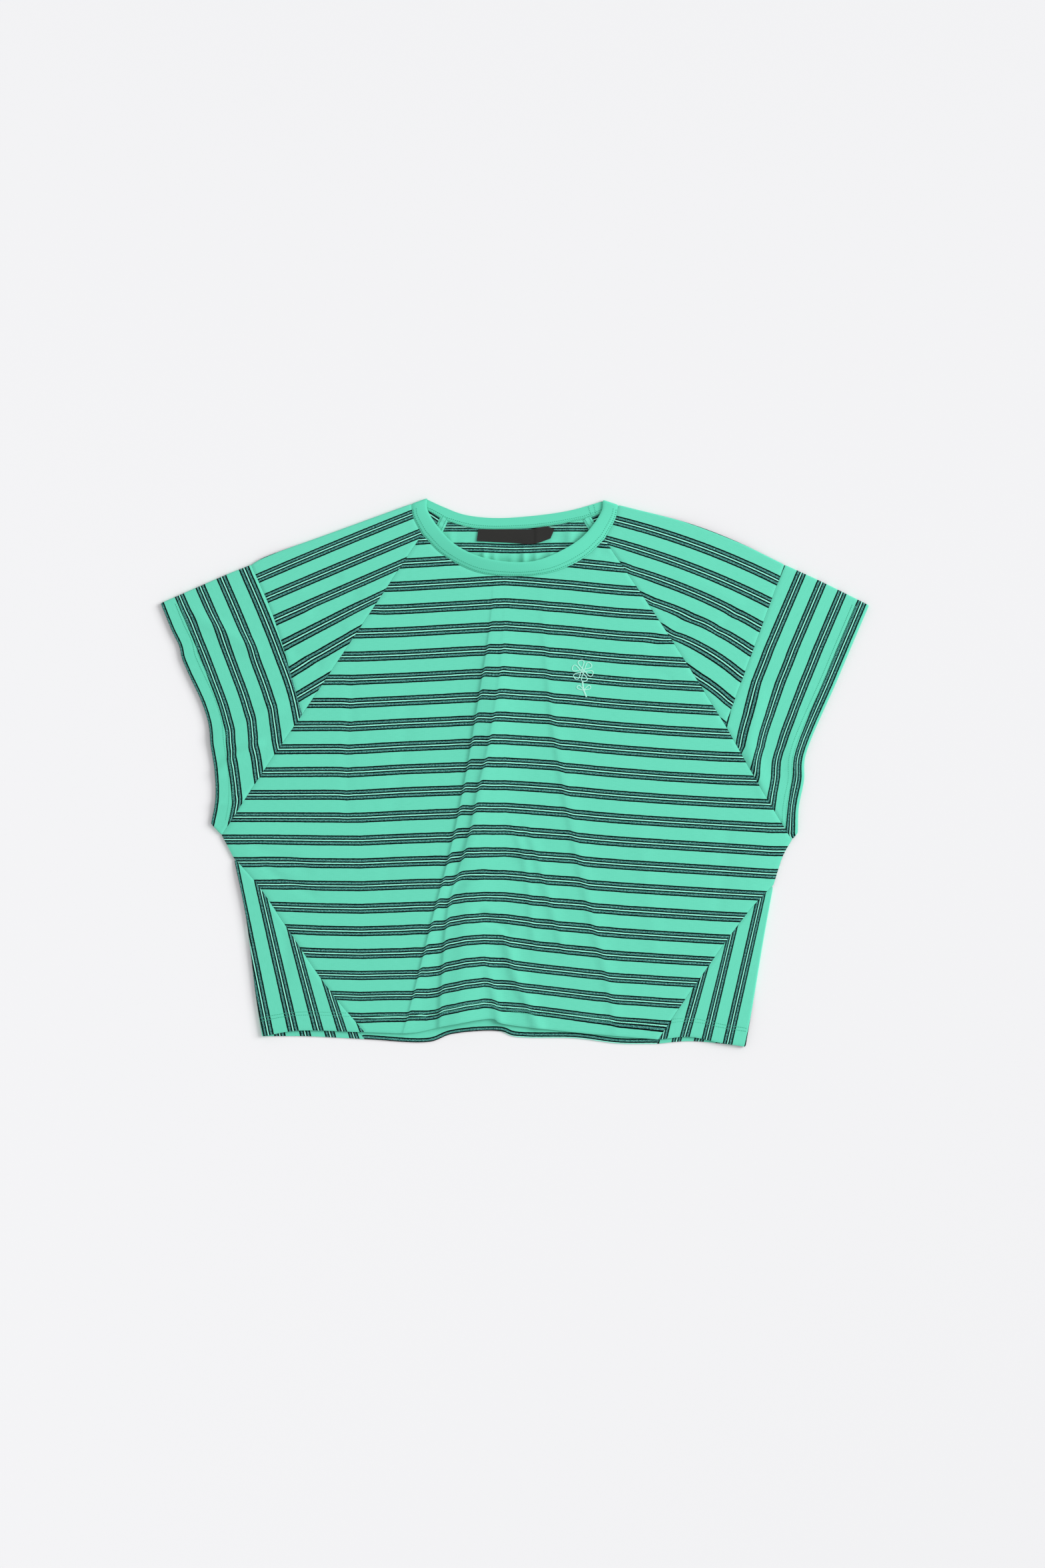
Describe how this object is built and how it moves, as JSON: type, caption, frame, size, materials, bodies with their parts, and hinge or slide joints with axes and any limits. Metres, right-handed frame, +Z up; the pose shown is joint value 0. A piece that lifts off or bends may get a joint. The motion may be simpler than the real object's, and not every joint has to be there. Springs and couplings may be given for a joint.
{
  "type": "striped raglan crop top laid flat",
  "caption": "Short, wide raglan T-shirt lying flat on its back, with a ribbed crew neck, wide short sleeves and a flared wedge at each side.",
  "frame": {"origin": "middle of the garment's bounding box, on the surface it lies on", "axes": "+X across the garment towards its right cuff in the picture, +Y towards the neck, +Z up out of the front"},
  "size_m": [0.6904, 0.5345, 0.0081],
  "materials": {
    "striped_jersey": "matt cotton jersey, mint green with dark heather stripes",
    "neck_rib": "matt mint green cotton rib",
    "label_ribbon": "black woven ribbon, blank"
  },
  "bodies": {
    "root": {"front_body": "striped_jersey", "back_body": "striped_jersey", "left_shoulder": "striped_jersey", "right_shoulder": "striped_jersey", "left_sleeve_band": "striped_jersey", "right_sleeve_band": "striped_jersey", "left_gore": "striped_jersey", "right_gore": "striped_jersey", "neckband": "neck_rib", "neck_label": "label_ribbon"}
  },
  "joints": []
}
